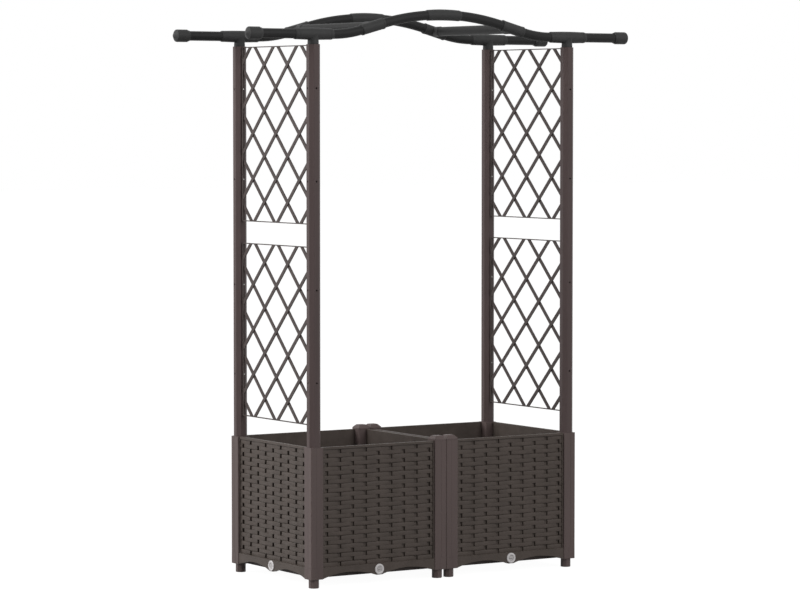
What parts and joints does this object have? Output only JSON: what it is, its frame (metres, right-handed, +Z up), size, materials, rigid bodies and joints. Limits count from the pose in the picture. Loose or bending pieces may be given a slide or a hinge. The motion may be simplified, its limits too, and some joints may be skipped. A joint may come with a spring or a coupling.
{
  "type": "planter with trellis",
  "caption": "Modular floor planter: square woven-look boxes on feet, with end posts, diamond lattices and tube arches overhead for climbing and hanging plants.",
  "frame": {"origin": "on the floor under the middle of the planter", "axes": "+X along the front from the left box to the right box, +Y from the front to the back, +Z up"},
  "size_m": [1.15, 0.4, 1.4402],
  "materials": {
    "woven_brown": "moulded strand pattern, satin",
    "corner_brown": "smooth satin",
    "post_brown": "extruded satin",
    "lattice_brown": "moulded satin",
    "tray_brown": "moulded",
    "fitting_black": "moulded satin",
    "tube_black": "extruded satin",
    "outlet_grey": "smooth",
    "stopper_grey": "smooth",
    "screw_steel": "zinc plated"
  },
  "bodies": {
    "frame": {"back_apex_sleeve": "fitting_black", "back_arm_tubes": "tube_black", "back_bend_tubes": "tube_black", "back_crown_tubes": "tube_black", "back_end_caps": "fitting_black", "back_left_elbow": "fitting_black", "back_left_tall_post": "post_brown", "back_left_tee": "fitting_black", "back_right_elbow": "fitting_black", "back_right_tall_post": "post_brown", "back_right_tee": "fitting_black", "corner_caps": "corner_brown", "drain_outlets": "outlet_grey", "front_apex_sleeve": "fitting_black", "front_arm_tubes": "tube_black", "front_bend_tubes": "tube_black", "front_crown_tubes": "tube_black", "front_end_caps": "fitting_black", "front_left_elbow": "fitting_black", "front_left_tall_post": "post_brown", "front_left_tee": "fitting_black", "front_right_elbow": "fitting_black", "front_right_tall_post": "post_brown", "front_right_tee": "fitting_black", "lattice_screws": "screw_steel", "left_box_back_left_corner_post": "corner_brown", "left_box_back_panel": "woven_brown", "left_box_back_right_corner_post": "corner_brown", "left_box_feet": "corner_brown", "left_box_front_left_corner_post": "corner_brown", "left_box_front_panel": "woven_brown", "left_box_front_right_corner_post": "corner_brown", "left_box_left_panel": "woven_brown", "left_box_right_panel": "woven_brown", "left_box_soil_floor": "tray_brown", "left_box_tray": "tray_brown", "left_cross_bar": "tube_black", "left_lower_lattice": "lattice_brown", "left_upper_lattice": "lattice_brown", "right_box_back_left_corner_post": "corner_brown", "right_box_back_panel": "woven_brown", "right_box_back_right_corner_post": "corner_brown", "right_box_feet": "corner_brown", "right_box_front_left_corner_post": "corner_brown", "right_box_front_panel": "woven_brown", "right_box_front_right_corner_post": "corner_brown", "right_box_left_panel": "woven_brown", "right_box_right_panel": "woven_brown", "right_box_soil_floor": "tray_brown", "right_box_tray": "tray_brown", "right_cross_bar": "tube_black", "right_lower_lattice": "lattice_brown", "right_upper_lattice": "lattice_brown", "tray_link_tube": "outlet_grey"},
    "left_box_back_stopper_body": {"left_box_back_stopper": "stopper_grey"},
    "left_box_front_stopper_body": {"left_box_front_stopper": "stopper_grey"},
    "left_box_left_stopper_body": {"left_box_left_stopper": "stopper_grey"},
    "right_box_back_stopper_body": {"right_box_back_stopper": "stopper_grey"},
    "right_box_front_stopper_body": {"right_box_front_stopper": "stopper_grey"},
    "right_box_right_stopper_body": {"right_box_right_stopper": "stopper_grey"}
  },
  "joints": [
    {"name": "left_box_back_stopper_pull", "type": "slide", "parent": "frame", "child": "left_box_back_stopper_body", "axis": [0, 1, 0], "range_m": [0, 0.02]},
    {"name": "left_box_front_stopper_pull", "type": "slide", "parent": "frame", "child": "left_box_front_stopper_body", "axis": [0, -1, 0], "range_m": [0, 0.02]},
    {"name": "left_box_left_stopper_pull", "type": "slide", "parent": "frame", "child": "left_box_left_stopper_body", "axis": [-1, 0, 0], "range_m": [0, 0.02]},
    {"name": "right_box_back_stopper_pull", "type": "slide", "parent": "frame", "child": "right_box_back_stopper_body", "axis": [0, 1, 0], "range_m": [0, 0.02]},
    {"name": "right_box_front_stopper_pull", "type": "slide", "parent": "frame", "child": "right_box_front_stopper_body", "axis": [0, -1, 0], "range_m": [0, 0.02]},
    {"name": "right_box_right_stopper_pull", "type": "slide", "parent": "frame", "child": "right_box_right_stopper_body", "axis": [1, 0, 0], "range_m": [0, 0.02]}
  ]
}
